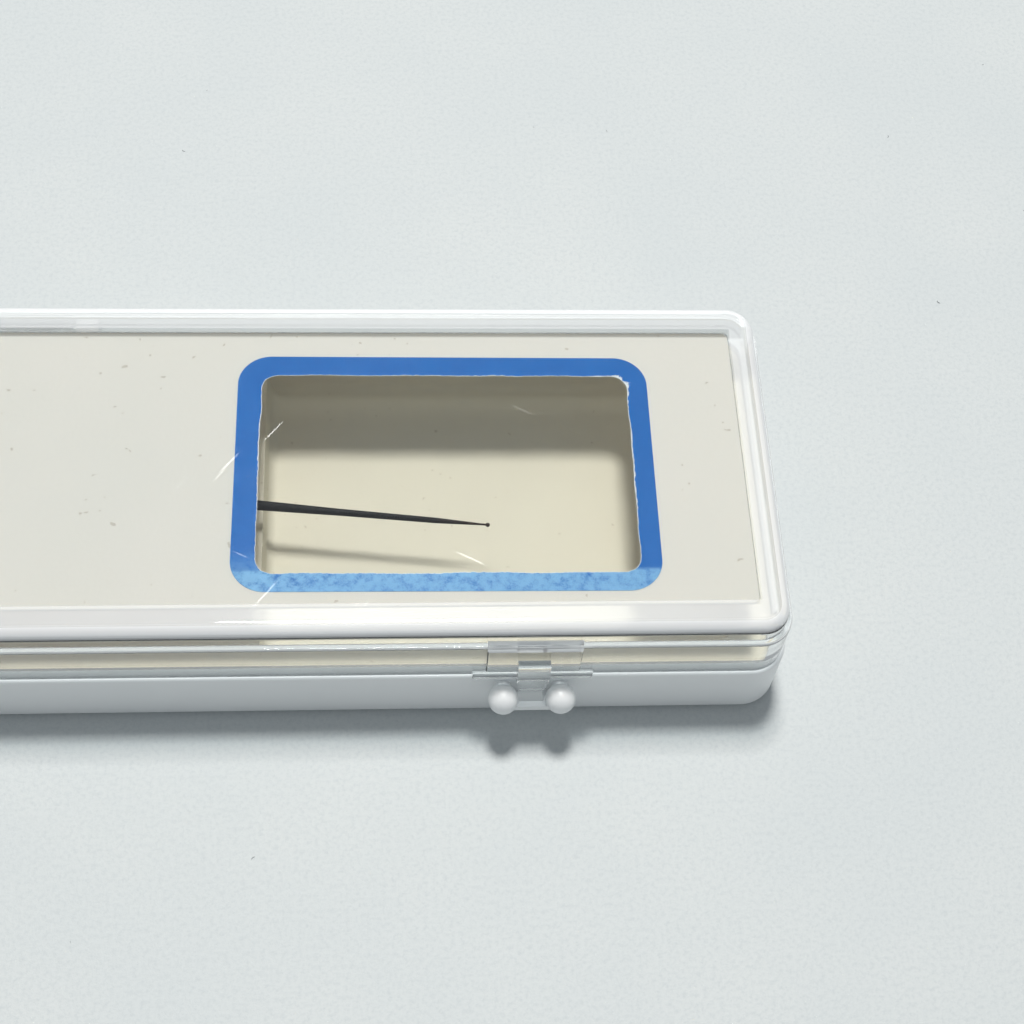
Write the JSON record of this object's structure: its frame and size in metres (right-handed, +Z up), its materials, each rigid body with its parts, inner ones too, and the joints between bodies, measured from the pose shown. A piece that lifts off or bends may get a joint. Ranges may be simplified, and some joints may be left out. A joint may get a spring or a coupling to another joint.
{
  "type": "hinged instrument case with ball-tipped probe",
  "caption": "Long hinged laboratory instrument case: white base, clear stepped lid over a windowed card, ball latches, cream inner tray and a slim ball-tipped probe lying in foam saddles.",
  "frame": {"origin": "middle of the case's flat underside", "axes": "+X along the case towards the probe's tip, +Y towards the hinge, +Z up through the lid"},
  "size_m": [0.2, 0.059, 0.0201],
  "materials": {
    "white_case": "glossy moulded white polystyrene",
    "clear_lid": "clear crystal polystyrene with light handling scratches",
    "card": "smooth off-white card",
    "blue_label": "blue printed paper, torn white fibres at the cut edge",
    "cream_tray": "satin cream moulding",
    "foam": "closed-cell foam",
    "black_shaft": "satin black coating with fine flecks",
    "brass_collet": "turned brass",
    "nut_metal": "black anodised",
    "handle_metal": "fine turned aluminium",
    "cap_plastic": "satin black plastic",
    "pin_steel": "drawn steel wire"
  },
  "bodies": {
    "case": {"base_tray": "white_case", "hinge_pin": "pin_steel", "inner_tray": "cream_tray", "front_saddle": "foam", "rear_saddle": "foam"},
    "lid": {"lid": "clear_lid", "window_card": "card", "window_label": "blue_label"},
    "probe": {"probe_shaft": "black_shaft", "collet": "brass_collet", "handle": "handle_metal", "end_cap": "cap_plastic"},
    "nut": {"collet_nut": "nut_metal"}
  },
  "joints": [
    {"name": "lid_hinge", "type": "hinge", "parent": "case", "child": "lid", "pos_m": [0, 0.0276, 0.01], "axis": [-1, 0, 0], "range_deg": [0, 175]},
    {"name": "probe_lift", "type": "slide", "parent": "case", "child": "probe", "axis": [0, 0, 1], "range_m": [0, 0.0022]},
    {"name": "collet_turn", "type": "hinge", "parent": "probe", "child": "nut", "pos_m": [0.0629, -0.0056, 0.0126], "axis": [-0.9944, 0.1054, 0], "range_deg": [0, 270]}
  ]
}
